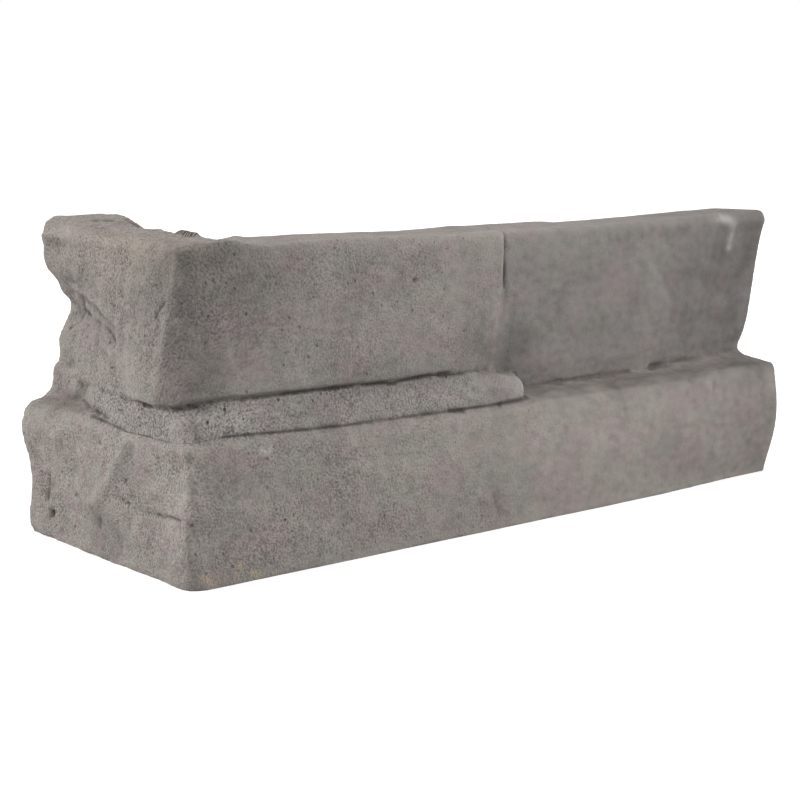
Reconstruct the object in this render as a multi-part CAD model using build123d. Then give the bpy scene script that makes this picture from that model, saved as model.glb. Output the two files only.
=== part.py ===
from build123d import *
import os

# Corner unit of a stacked ledge veneer, cast in one piece: an L that wraps a wall corner.
# X runs along the long face, Y along the short face, Z up, all in millimetres.
# While the stones are shaped, the sharp lower outer corner is at zero; the finished
# piece is moved so that zero is the middle of its underside.

# Driving sizes
LENGTH = 270.0  # long leg, over its outer face
RETURN = 99.0  # short leg, over its outer face
HEIGHT = 102.0  # one veneer course
THICKNESS = 32.0  # outer reference face to the flat wall face, both legs
OVERRUN = 4.0  # how far each rough stone runs past the flat faces before it is trimmed
BACK = THICKNESS + OVERRUN
SURFACE_TOLERANCE = 0.05  # fineness at which the finished piece is measured to centre it

# Stations along the faces, at which each level of a stone states its setback
SHORT_STATIONS = (RETURN, 70.0, 45.0, 22.0)
LOWER_STATIONS = (40.0, 85.0, 140.0, 205.0, LENGTH)
UPPER_LEFT_STATIONS = (35.0, 75.0, 108.0, 123.0)
UPPER_RIGHT_STATIONS = (134.0, 165.0, 207.0, 232.0, 250.0, LENGTH)

# Upright joint between the two upper stones
JOINT_X = 126.5

# Middle stone: a thin tongue between the courses
TONGUE_END_X = 137.0  # its rounded right end
TONGUE_END_Y = 74.0  # where it dies out on the short face
TONGUE_FADE = 44.0  # length over which it sinks back to there
TONGUE_NOSE = 9.0  # plan size of the rounding at its right end

# How far each corner's curve pulls in, as shares of its reach along the long face and back
# along the short face: the lower stone is rounded evenly, and the upper one keeps an arris
# at its short face, beyond which it turns gently into the long face, as the middle one does
LOWER_EASE = (0.14, 0.14)
UPPER_EASE = (0.42, 0.02)
MIDDLE_EASE = (0.35, 0.05)

# The rough top dips along the long leg, and a flake climbs to the short leg's far back corner
LONG_TOP = ((THICKNESS, -2.3), (80.0, -2.0), (125.0, -2.6), (190.0, -1.9), (235.0, -0.5), (LENGTH, 0.4))
FRONT_TOP = -0.4
FAR_FRONT_TOP = 2.4
FLAKE = ((40.0, -2.3), (60.0, -0.4), (72.0, -0.3), (81.0, 2.3), (RETURN, 3.3))


def wrapped_outline(z, short, corner, long, ease, stations, far_x):
    """Closed outline, at height z, of a stone that wraps the corner.

    short and long are the setbacks of its two faces, far end first on the short face.
    corner is the sharp corner's x and y, and how far its rounding reaches back along
    the short face and along the long face. ease says how sharply that rounding turns.
    """
    corner_x, corner_y, reach_back, reach_along = corner
    pull = (corner_x + ease[0] * reach_along, corner_y + ease[1] * reach_back, z)
    short_points = [(short[0], RETURN + OVERRUN, z)]
    short_points += [(setback, y, z) for setback, y in zip(short, SHORT_STATIONS)]
    short_points += [(corner_x, corner_y + reach_back, z)]
    long_points = [(corner_x + reach_along, corner_y, z)]
    long_points += [(x, setback, z) for setback, x in zip(long, stations)]
    long_points += [(far_x, long[-1], z)]
    short_face = Spline(*short_points, tangents=[(0, -1, 0), (0, -1, 0)])
    rounding = Bezier(short_points[-1], pull, long_points[0])
    long_face = Spline(*long_points, tangents=[(1, 0, 0), (1, 0, 0)])
    back_corners = [(far_x, BACK, z), (BACK, BACK, z), (BACK, RETURN + OVERRUN, z)]
    behind = Polyline(long_face @ 1, *back_corners, short_face @ 0)
    return Wire([short_face, rounding, long_face] + list(behind.edges()))


def straight_outline(z, setbacks, stations, near_x, far_x):
    """Closed outline, at height z, of a stone on the long face alone."""
    points = [(near_x, setbacks[0], z)]
    points += [(x, setback, z) for setback, x in zip(setbacks, stations)]
    points += [(far_x, setbacks[-1], z)]
    face = Spline(*points)
    behind = Polyline(face @ 1, (far_x, BACK, z), (near_x, BACK, z), face @ 0)
    return Wire([face] + list(behind.edges()))


def stone(outlines, face_start, face_end):
    """A stone from its outlines, lowest first.

    Between the two counted outlines the face is one smooth surface. Below and above
    them, the foot and the crown are plain facets, which keeps their arrises crisp.
    """
    face = Solid.make_loft(outlines[face_start : face_end + 1])
    if face_start > 0:
        face = face + Solid.make_loft(outlines[: face_start + 1], ruled=True)
    if face_end < len(outlines) - 1:
        face = face + Solid.make_loft(outlines[face_end:], ruled=True)
    return face


def lower_stone():
    """Bottom course: a shallow belly on both faces, and a ledge that falls forward."""
    levels = [
        # height, setbacks of the short face, corner, setbacks of the long face
        (-1.0, (2.8, 1.6, 1.0, 1.4), (1.0, 1.0, 5.0, 6.0), (1.0, 0.8, 0.9, 0.8, 3.6)),
        (9.0, (1.2, 2.8, 1.0, 2.0), (0.4, 0.4, 4.0, 5.0), (0.4, 0.2, 0.0, -0.2, 0.7)),
        (19.0, (2.1, 3.0, 0.6, 1.6), (0.8, 0.2, 3.8, 4.6), (0.8, -0.4, -0.8, -1.0, -1.8)),
        (29.5, (-0.2, 1.0, 0.2, 1.4), (1.8, 0.2, 3.4, 4.0), (0.8, -0.6, -1.0, -1.2, -2.0)),
        (41.5, (0.2, 0.5, 0.5, 0.6), (0.4, 0.7, 3.0, 3.8), (0.9, 0.7, 0.8, 0.6, -0.4)),
        (43.6, (2.7, 2.2, 1.8, 1.7), (1.5, 2.4, 3.0, 3.8), (2.8, 2.8, 5.0, 5.4, 0.6)),
        (45.4, (7.0, 9.0, 9.0, 9.0), (8.0, 9.0, 4.0, 5.0), (10.0, 10.0, 16.0, 17.5, 14.2)),
        (47.0, (10.0, 12.0, 13.0, 13.0), (13.0, 13.0, 4.0, 5.0), (15.0, 15.0, 19.0, 20.0, 17.5)),
    ]
    outlines = [wrapped_outline(*level, LOWER_EASE, LOWER_STATIONS, LENGTH + OVERRUN) for level in levels]
    return stone(outlines, 0, 4)


def upper_left_stone():
    """Upper stone that wraps the corner; its foot hangs over the middle stone."""
    levels = [
        (44.0, (9.5, 9.0, 8.0, 9.0), (9.0, 10.0, 8.0, 12.0), (11.0, 11.0, 11.0, 14.0)),
        (52.6, (12.2, 10.5, 8.0, 6.5), (5.0, 8.0, 10.0, 14.0), (8.5, 8.5, 9.5, 12.0)),
        (54.6, (12.8, 8.4, 3.4, -1.2), (-2.0, 0.8, 13.2, 20.0), (0.8, 1.6, 3.6, 7.6)),
        (60.0, (14.3, 9.0, 3.0, -1.4), (-1.8, 0.7, 12.2, 19.0), (0.6, 1.3, 3.0, 5.6)),
        (66.5, (15.4, 9.8, 2.8, -1.2), (-1.4, 0.8, 10.4, 17.0), (0.7, 1.3, 2.7, 4.0)),
        (74.0, (18.6, 11.2, 3.2, -0.6), (-0.8, 1.1, 8.2, 14.0), (1.0, 1.6, 2.4, 3.0)),
        (82.0, (15.0, 9.4, 3.0, 0.0), (-0.2, 1.5, 6.2, 11.0), (1.5, 1.8, 2.4, 2.6)),
        (90.5, (9.8, 6.4, 2.8, 0.6), (0.3, 1.9, 4.4, 8.0), (2.0, 2.0, 2.4, 2.5)),
        (98.5, (9.0, 5.8, 3.0, 1.2), (0.8, 2.2, 3.2, 6.0), (2.4, 2.4, 2.6, 2.7)),
        (101.2, (10.0, 6.8, 4.2, 2.4), (1.8, 3.1, 3.8, 6.0), (3.2, 3.2, 3.3, 3.4)),
        (102.6, (10.5, 8.2, 6.0, 4.2), (3.6, 5.0, 3.8, 6.0), (5.0, 5.0, 5.0, 5.0)),
        (106.0, (15.5, 15.0, 13.0, 11.0), (10.0, 11.0, 4.0, 6.0), (11.0, 11.0, 11.0, 11.0)),
    ]
    outlines = [wrapped_outline(*level, UPPER_EASE, UPPER_LEFT_STATIONS, JOINT_X) for level in levels]
    return stone(outlines, 2, 8)


def upper_right_stone():
    """Upper stone right of the upright joint: it stands back and leans out to its top."""
    levels = [
        (44.0, (12.2, 13.4, 15.0, 16.0, 16.4, 16.8)),
        (47.2, (11.6, 13.2, 15.2, 16.6, 17.2, 17.9)),
        (50.0, (10.4, 12.0, 14.3, 15.8, 16.6, 17.6)),
        (60.0, (7.7, 9.3, 11.0, 12.6, 13.4, 13.8)),
        (70.0, (6.3, 7.9, 9.3, 11.2, 12.0, 12.2)),
        (80.0, (5.3, 6.9, 8.2, 10.0, 10.8, 10.9)),
        (90.0, (4.8, 6.3, 7.6, 8.8, 9.6, 9.3)),
        (98.5, (4.6, 5.7, 6.8, 7.4, 8.2, 6.8)),
        (101.0, (5.6, 6.7, 7.8, 8.4, 9.2, 7.6)),
        (HEIGHT + 1.0, (7.8, 8.8, 9.8, 10.4, 11.4, 10.0)),
    ]
    outlines = [
        straight_outline(z, setbacks, UPPER_RIGHT_STATIONS, JOINT_X - OVERRUN, LENGTH + OVERRUN)
        for z, setbacks in levels
    ]
    return stone(outlines, 2, 7)


def middle_stone():
    """Thin tongue between the courses: rounded right end, dying out on the short face."""
    levels = [
        # height, setbacks of its short and long faces, how far its corner reaches back and
        # along, and how far its right end stops short
        (41.0, 1.8, 3.0, 2.5, 2.5, 0.0),
        (43.6, 1.4, 2.6, 2.5, 2.5, 0.0),
        (49.0, 1.5, 2.6, 6.0, 8.0, 0.5),
        (52.0, 1.9, 3.0, 8.5, 13.0, 2.4),
        (53.0, 3.0, 4.2, 9.0, 14.0, 4.4),
        (53.8, 9.0, 10.0, 9.0, 14.0, 9.5),
    ]
    outlines = []
    for z, short_setback, long_setback, reach_back, reach_along, short_by in levels:
        end_x = TONGUE_END_X - short_by
        far_edge = Line((BACK, TONGUE_END_Y, z), (short_setback + TONGUE_NOSE, TONGUE_END_Y, z))
        fade_start = TONGUE_END_Y - TONGUE_FADE
        fade_pull = (short_setback, fade_start + TONGUE_FADE / 2, z)
        fade = Bezier(far_edge @ 1, fade_pull, (short_setback, fade_start, z))
        short_face = Line(fade @ 1, (short_setback, long_setback + reach_back, z))
        pull_x = short_setback + MIDDLE_EASE[0] * reach_along
        pull_y = long_setback + MIDDLE_EASE[1] * reach_back
        corner_end = (short_setback + reach_along, long_setback, z)
        rounding = Bezier(short_face @ 1, (pull_x, pull_y, z), corner_end)
        long_face = Line(rounding @ 1, (end_x - TONGUE_NOSE, long_setback, z))
        nose = Bezier(long_face @ 1, (end_x, long_setback, z), (end_x, long_setback + TONGUE_NOSE, z))
        behind = Polyline(nose @ 1, (end_x, BACK, z), (BACK, BACK, z), far_edge @ 0)
        edges = [far_edge, fade, short_face, rounding, long_face, nose]
        outlines.append(Wire(edges + list(behind.edges())))
    return stone(outlines, 0, 3)


def short_leg_outline(x, start_height, rises):
    """Upright outline of the short leg's block at one depth, with the stations of its top."""
    front_y = -3 * OVERRUN
    top = [(x, front_y, HEIGHT + start_height)] + [(x, y, HEIGHT + rise) for y, rise in rises]
    return Wire(Polyline((x, front_y, 0), *top, (x, RETURN, 0), close=True).edges())


def flat_faces():
    """L-shaped block of the bed, both ends and both wall faces, under the rough top."""
    front_y = -3 * OVERRUN
    top = Spline(*[(x, front_y, HEIGHT + rise) for x, rise in LONG_TOP])
    sides = Polyline(top @ 1, (LENGTH, front_y, 0), (THICKNESS, front_y, 0), top @ 0)
    outline = make_face([top] + list(sides.edges()))
    long_leg = extrude(outline, amount=THICKNESS - front_y, dir=(0, 1, 0))
    front_rises = [(y, FRONT_TOP) for y, _ in FLAKE[:-1]] + [(RETURN, FAR_FRONT_TOP)]
    front = short_leg_outline(0, FRONT_TOP, front_rises)
    back = short_leg_outline(THICKNESS, LONG_TOP[0][1], FLAKE)
    outer = short_leg_outline(-3 * OVERRUN, FRONT_TOP, front_rises)
    short_leg = Solid.make_loft([outer, front, back], ruled=True)
    return long_leg + short_leg


def corner_piece():
    """The whole cast unit, standing with the middle of its underside at zero."""
    trim = flat_faces()
    piece = lower_stone() & trim
    for upper in (middle_stone(), upper_left_stone(), upper_right_stone()):
        piece = piece + (upper & trim)
    surface_points, _ = piece.tessellate(SURFACE_TOLERANCE)
    along = [point.X for point in surface_points]
    across = [point.Y for point in surface_points]
    return Pos(-(min(along) + max(along)) / 2, -(min(across) + max(across)) / 2, 0) * piece


os.makedirs("parts", exist_ok=True)
export_step(corner_piece(), "parts/corner_piece.step")
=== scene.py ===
import logging
import math
from dataclasses import dataclass, field
from enum import Enum

import bmesh
import bpy
import numpy as np
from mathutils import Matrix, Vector, noise


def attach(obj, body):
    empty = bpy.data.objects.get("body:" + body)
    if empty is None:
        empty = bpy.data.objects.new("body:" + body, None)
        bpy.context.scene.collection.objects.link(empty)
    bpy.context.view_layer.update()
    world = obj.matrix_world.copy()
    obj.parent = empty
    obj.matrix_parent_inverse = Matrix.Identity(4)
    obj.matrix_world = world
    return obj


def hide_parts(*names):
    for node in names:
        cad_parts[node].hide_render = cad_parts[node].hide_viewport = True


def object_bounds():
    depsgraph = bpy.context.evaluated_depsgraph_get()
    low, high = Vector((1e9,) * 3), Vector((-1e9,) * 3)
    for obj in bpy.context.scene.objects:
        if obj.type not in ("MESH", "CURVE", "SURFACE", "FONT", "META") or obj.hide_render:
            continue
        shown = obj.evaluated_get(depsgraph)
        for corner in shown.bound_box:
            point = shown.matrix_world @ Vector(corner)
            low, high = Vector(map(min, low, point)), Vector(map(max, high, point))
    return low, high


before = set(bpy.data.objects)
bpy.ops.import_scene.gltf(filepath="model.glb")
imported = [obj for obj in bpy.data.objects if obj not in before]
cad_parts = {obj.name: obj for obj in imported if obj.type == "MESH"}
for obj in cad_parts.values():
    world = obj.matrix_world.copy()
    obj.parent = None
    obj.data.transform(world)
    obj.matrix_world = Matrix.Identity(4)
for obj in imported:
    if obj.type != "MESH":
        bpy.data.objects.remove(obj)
CAD_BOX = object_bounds()

logging.basicConfig(level=logging.INFO, format="%(message)s")
log = logging.getLogger("ledge_stone_corner")

MM = 0.001
Point = tuple[float, float, float]
Array = np.ndarray
Socket = bpy.types.NodeSocket

# The relief is laid out in mm from the sharp lower outer corner, x along the long face and
# y along the short one; this is the frame's zero as seen from there
FRAME_ZERO = np.array((134.0, 48.387, 0.0))
LENGTH = 270.0  # end of the long leg
RETURN = 99.0  # end of the short leg
THICKNESS = 32.0  # wall faces of both legs
JOINT_X = 126.5  # upright joint of the two upper stones
LEDGE_Z = 43.5  # level of the bottom course's ledge, where the thin middle stone stands
LIP_Z = 54.2  # level of the lip that hangs over the thin middle stone
TONGUE_END_X = 141.0  # right end of the thin middle stone
TONGUE_END_Y = 66.0  # where it dies out on the short face


class Stone(Enum):
    """The four stones that the one casting shows."""

    LOWER = "lower"
    MIDDLE = "middle"
    UPPER_LEFT = "upper_left"
    UPPER_RIGHT = "upper_right"


def linear(hex_colour: str) -> tuple[float, ...]:
    """Turn six hex digits of sRGB, such as "8f8883", into linear RGBA."""
    parts = [int(hex_colour[start : start + 2], 16) / 255 for start in (0, 2, 4)]
    return (*(part / 12.92 if part <= 0.04045 else ((part + 0.055) / 1.055) ** 2.4 for part in parts), 1.0)


def add_node(
    tree: bpy.types.NodeTree, kind: str, inputs: dict | None = None, **settings: object
) -> bpy.types.Node:
    """Add one node, with its settings, plain values and links.

    Args:
        tree: The node tree it goes into.
        kind: The node's Blender class name.
        inputs: Socket name or number, to a value or to an output socket.
        settings: The node's own attributes.

    Returns:
        The new node.
    """
    node = tree.nodes.new(kind)
    for name, value in settings.items():
        setattr(node, name, value)
    for name, value in (inputs or {}).items():
        if isinstance(value, Socket):
            tree.links.new(value, node.inputs[name])
        else:
            node.inputs[name].default_value = value
    return node


def smooth(low: float, high: float, values: Array) -> Array:
    """Rise from 0 at low to 1 at high, with soft ends."""
    share = np.clip((values - low) / (high - low), 0.0, 1.0)
    return share * share * (3.0 - 2.0 * share)


def wander(places: Array, size: float, seed: float, octaves: int = 1) -> Array:
    """Smooth seeded noise, about -1 to 1, with swells of one size in mm."""
    shifted = places / size + np.array((seed, 0.37 * seed, 1.7 * seed))
    return np.array([noise.fractal(Vector(place), 0.9, 2.1, octaves) for place in shifted])


@dataclass(frozen=True)
class Stroke:
    """A scratch, groove, ridge, pit or lump along a short line on the surface, in mm."""

    points: tuple[Point, ...]
    width: float
    height: float  # below zero for a groove or pit

    def distance(self, places: Array) -> Array:
        """How far the line is from each place.

        Args:
            places: Places in mm, one row each.

        Returns:
            A distance in mm for each place.
        """
        nearest = np.full(len(places), 1e9)
        for start, end in zip(self.points, self.points[1:] or self.points):
            origin = np.array(start)
            run = np.array(end) - origin
            share = np.clip((places - origin) @ run / max(run @ run, 1e-9), 0.0, 1.0)
            gap = np.linalg.norm(places - origin - share[:, None] * run, axis=1)
            nearest = np.minimum(nearest, gap)
        return nearest

    def lift(self, places: Array) -> Array:
        """How far each place moves out along its normal, in mm."""
        return self.height * np.exp(-((self.distance(places) / self.width) ** 2))


def strokes(*rows: tuple) -> tuple[Stroke, ...]:
    """Strokes from rows that each give a width, a height, then the points of a line."""
    return tuple(Stroke(tuple(points), width, height) for width, height, *points in rows)


@dataclass(frozen=True)
class Patch:
    """A soft cloud on the surface: where it lies, how wide it is, and how strong."""

    middle: Point
    reach: Point  # its half width along x, y and z, in mm
    amount: float

    def cover(self, places: Array) -> Array:
        """Its strength at each place."""
        offsets = (places - np.array(self.middle)) / np.array(self.reach)
        return self.amount * np.exp(-np.sum(offsets**2, axis=1))


def patches(*rows: tuple) -> tuple[Patch, ...]:
    """Patches from rows that each give a middle, a reach and an amount."""
    return tuple(Patch(*row) for row in rows)


@dataclass(frozen=True)
class StoneSkin:
    """How one stone's skin differs from its neighbours'."""

    rough: float  # height of its crags, in mm
    coarse: float  # height of its pebbly texture, in mm
    tone: float  # above zero for a darker stone
    cool: float  # share of cool grey
    grain: float  # strength of its sand


SKINS = {
    Stone.LOWER: StoneSkin(rough=0.20, coarse=0.02, tone=-0.20, cool=0.0, grain=0.95),
    Stone.MIDDLE: StoneSkin(rough=0.20, coarse=0.12, tone=-0.38, cool=0.3, grain=1.5),
    Stone.UPPER_LEFT: StoneSkin(rough=0.14, coarse=0.02, tone=0.0, cool=0.0, grain=1.0),
    Stone.UPPER_RIGHT: StoneSkin(rough=0.10, coarse=0.0, tone=0.23, cool=0.2, grain=1.0),
}


@dataclass(frozen=True)
class LevelLine:
    """A line that is level in the solid but rises and falls a little on its way round, in mm."""

    way: tuple[float, ...]  # place along it as x minus y: below zero on the short face
    rise: tuple[float, ...]
    band: tuple[float, ...]  # heights where the bend begins, is full, is full, ends

    def height(self, places: Array) -> Array:
        """How much higher the line runs at each place."""
        return np.interp(places[:, 0] - places[:, 1], self.way, self.rise)

    def lift(self, places: Array) -> Array:
        """How far each place goes up."""
        begin, full, last, end = self.band
        return self.height(places) * smooth(begin, full, places[:, 2]) * smooth(end, last, places[:, 2])


# The lip of the upper left stone, the foot of the thin middle one, and the crease at the back
# of the ledge
LIP = LevelLine(
    way=(
        -60, -48, -38, -33, -28, -24, -20, -16, -12, -8, -4, 0,
        5, 10, 20, 40, 56, 76, 88, 100, 106, 112, 118, 130,
    ),
    rise=(
        -0.6, -1.2, -1.1, -1, -0.9, -0.7, -0.6, -0.7, -0.6, -0.6, 0, 0.7,
        1.1, 1.8, 1.7, 1.6, 1.4, 0.8, 1.4, 1, 0.4, -0.2, -0.5, 0,
    ),
    band=(46.5, 53.5, 56, 72),
)
FOOT = LevelLine(
    way=(-60, -55, -34, -14, 0, 5, 11, 20, 27, 42, 55, 80, 118, 134, 142),
    rise=(0.8, 1.2, -0.4, -0.3, 0.4, 0.6, 1, 0.7, 0.4, -0.3, -0.7, -0.8, -1.1, -0.6, 0),
    band=(38, 42, 44.5, 51),
)
LEDGE_CREASE = LevelLine(
    way=(128, 145, 172, 200, 235, 256),
    rise=(0, -0.3, -0.6, -0.7, -0.6, 0),
    band=(43, 44.8, 46.6, 58),
)

# Depth of the long face just left and right of the upright joint, by height
JOINT_LEVELS = (54.5, 56, 60, 66, 72, 80, 90)
JOINT_LEFT = (6.7, 6.2, 5, 3.8, 2.9, 2.6, 2.5)
JOINT_RIGHT = (8.9, 8.7, 7.85, 7.1, 6.55, 5.5, 5)

# Creases, facets and lumps that the short face shows one by one
SHORT_FACE_MARKS = strokes(
    # Upper stone, and the arris where it turns the corner
    (1.6, 0.6, (9.6, 81.3, 102.4), (7, 73.2, 95.3), (6.5, 70.1, 89.9), (16.6, 89.8, 78.2)),
    (3.5, -0.6, (9, 84.6, 94), (8.6, 81.6, 89), (14.3, 87.2, 81.2)),
    (1.5, 1, (13.5, 87.1, 82.2), (10.9, 73.5, 80.8), (5.4, 53.3, 78), (1.9, 38, 74.7), (1.3, 36, 68.9)),
    (1.1, 0.5, (15.9, 83.9, 76.1), (10.4, 67.9, 74.6), (6.3, 55.7, 72.8)),
    (4, -1, (8, 61.2, 74.1), (4.9, 51.6, 72), (3.1, 45.7, 69.6)),
    (1.5, 0.85, (1.8, 35.8, 89.6), (1.8, 37.4, 83.2), (0.8, 29.6, 78.8),
        (0.1, 26.9, 74.1), (-1.1, 17.9, 68.9)),
    (1.4, 1.05, (5.5, 55.4, 66.6), (2.7, 44.5, 65.8), (3.2, 46.3, 61), (2.8, 42.9, 56.8)),
    (2.8, -0.6, (2, 40.6, 61.7), (1.3, 36.1, 59.2), (1.2, 34.2, 56.4)),
    (1.2, -0.4, (0.3, 12.7, 89.5), (0, 10.9, 85.3)),
    (3, 0.5, (2.7, 44.5, 66.1)),
    (4, 0.5, (-1.1, 23.7, 65.6)),
    # Bottom course
    (3, 1.25, (0.6, 35.3, 39), (0.4, 40.8, 30.4), (0.4, 45.9, 24.9), (1.4, 52.8, 18.8), (1.9, 59, 15.5)),
    (2.4, 0.5, (3, 68.8, 14.1), (1.7, 56.6, 18.7), (0.4, 47.1, 24.7)),
    (5, -0.9, (2.1, 58.2, 11.3), (1.4, 51.6, 9.4), (1.2, 42, 6)),
    (4, -0.35, (0.7, 34.2, 31.4), (1, 31.5, 25.6)),
    (1.3, -0.6, (2.4, 87.4, 20.8), (2.2, 89.2, 13.5)),
    # Thin middle stone, by the outer corner
    (2.6, 0.5, (2.3, 6.4, 48.3)),
    (1.5, -0.5, (5.3, 6.2, 51.2), (4.6, 3.7, 48.1), (5.1, 2.5, 44.7)),
    # Bottom course, toward its far end
    (1.4, -0.5, (-0.2, 72.4, 36.8), (0.1, 75.2, 33.1)),
    (6, -0.5, (1.8, 72.3, 25.2)),
    # Where the thin middle stone has died out
    (6, 0.8, (8.5, 64, 50), (10, 72, 48.5)),
    # Bumps and hollows of the far edge, which show in outline
    (3.5, 1.4, (9, 98, 95.6)),
    (2.4, -0.9, (8, 98.3, 100.2)),
    (3.2, 0.65, (9.3, 98, 91.8)),
    (2.6, 0.7, (14, 98.5, 56.5), (11.5, 98.5, 50)),
    (4, -0.6, (-1.2, 98.5, 38.5), (-1.7, 98.4, 33.5)),
    (3.5, 1.4, (16.3, 98, 80.4)),
    (3, 1.1, (13, 98.5, 54.5)),
    (2.5, -0.9, (6.3, 98, 46.1)),
    (6, 0.6, (17.5, 98, 72), (14, 98, 62)),
)

# Cracks, creases and small holes, sunk in the relief and also painted dark with dirt and painted shade
DARK_MARKS = strokes(
    # Upper stone on the short face, and the arris
    (1, -0.5, (10.4, 68.4, 76.8)),
    (0.9, -0.3, (1.9, 37.3, 75.7)),
    (0.7, -0.3, (16.5, 86.5, 74.6), (12.5, 72, 73.4), (8, 60.5, 73), (4.5, 50, 71.5), (2.8, 43.5, 69)),
    (0.55, -0.6, (-0.1, 9.7, 84), (-0.1, 11.3, 82.7), (-0.2, 13.3, 81.1), (-0.4, 14.8, 79)),
    # Bottom course, short face
    (1.3, -1.9, (2, 85.3, 8.7)),
    (0.7, -0.9, (0.8, 35.6, 27.8)),
    (0.6, -0.3, (0.7, 42, 22.4), (1, 35.1, 21), (1.2, 28, 20.4),
        (1.4, 19.3, 20.1), (1.2, 11.8, 20.7), (1.1, 4.5, 21.3)),
    (0.9, -0.5, (1, 35.1, 21)),
    (0.55, -0.36, (1.3, 19.3, 20.2), (1.2, 11.8, 20.7), (1.1, 5.5, 21.2)),
    # Long face: a scratch, a hole and a dash on the ledge
    (0.7, -0.3, (119.7, -0.2, 12.4), (121.4, 0.1, 8.7), (123.1, 0.4, 5)),
    (0.8, -0.8, (87.2, 2.1, 86.1)),
    (0.7, -0.6, (102.4, 2.7, 42.4), (108.5, 2.1, 42.2)),
    # Upright joint, where it nearly closes: a dark line of dirt and painted shade
    (0.7, -0.55, (128, 4.2, 101.5), (127.8, 4.3, 97), (128.2, 4.5, 92), (128.8, 4.8, 86), (129.2, 5, 81)),
    (0.7, -0.35, (129.3, 5, 79.3), (129.4, 5, 76), (129.2, 5.2, 71)),
    # Crease between the ledge and the upper right stone: a thin line of dirt and painted shade
    (0.8, -0.3, (150, 12.7, 45.9), (164.6, 13.3, 45.3), (194, 13.2, 45.2), (201, 13.6, 45.4)),
    (1, -0.3, (155, 12.9, 45.6), (168, 13.3, 45.3)),
    (1, -0.4, (184, 13, 45.2), (192, 12.6, 45)),
    (0.9, -0.25, (214, 15.2, 46.5), (227, 16, 46.5), (240, 16.7, 46.8)),
    (1.4, -0.45, (214, 14.5, 45.6), (220, 15.7, 46.2)),
    (1.4, -0.35, (226.5, 16.3, 46.4), (235, 16.6, 46.8)),
    # Spots below the ledge's edge
    (1, -0.3, (219.5, 0.4, 41.5)),
    (0.9, -0.28, (232.9, -0.5, 38.4), (232.6, -0.5, 36.8)),
    # Cracks in the top of the short leg
    (1.8, -0.9, (20.2, 83.3, 103.6), (21.6, 81.3, 103.5), (22.6, 78.6, 103.1)),
    (1.2, -0.7, (29.5, 79.5, 103.8), (30, 72.4, 101.8)),
)

# Marks of the long face: the arc left by a flake, a faint ridge, and the lower arris
LONG_FACE_MARKS = strokes(
    (2.2, -0.35, (203.9, 7.4, 91.4), (205.7, 7.8, 86.2), (219.6, 10.3, 72),
        (221.2, 11.4, 65.4), (216.4, 12.3, 57.1)),
    (3, 0.4, (4.3, 0.5, 23.1), (25.4, 0.6, 20.7)),
    (2, 0.3, (1.8, 3.7, 43.2), (2.1, 1.7, 39.3), (2.8, 1.5, 34.9), (3.4, 1, 27.5)),
)

# Marks of the rough top: the crumb left at the inner corner, the nick beside it, a corner
# that stands up, two low swells, and a hollow near the right end
CRUMB = Stroke(((30.5, 41, 99.4), (30.5, 48, 99.8)), 2.3, 2.1)
TOP_MARKS = (CRUMB,) + strokes(
    (1.2, -1, (31, 53.5, 100.2)),
    (5, 1, (12, 97, 101)),
    (12, 1.6, (122, 20, 100), (160, 22, 100.5)),
    (3, 1, (31.5, 37.5, 99.5), (33, 31, 99.5), (38, 30.5, 99.6)),
    (3, -0.7, (256, 12, 102.6), (258, 24, 103.4)),
)
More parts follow.
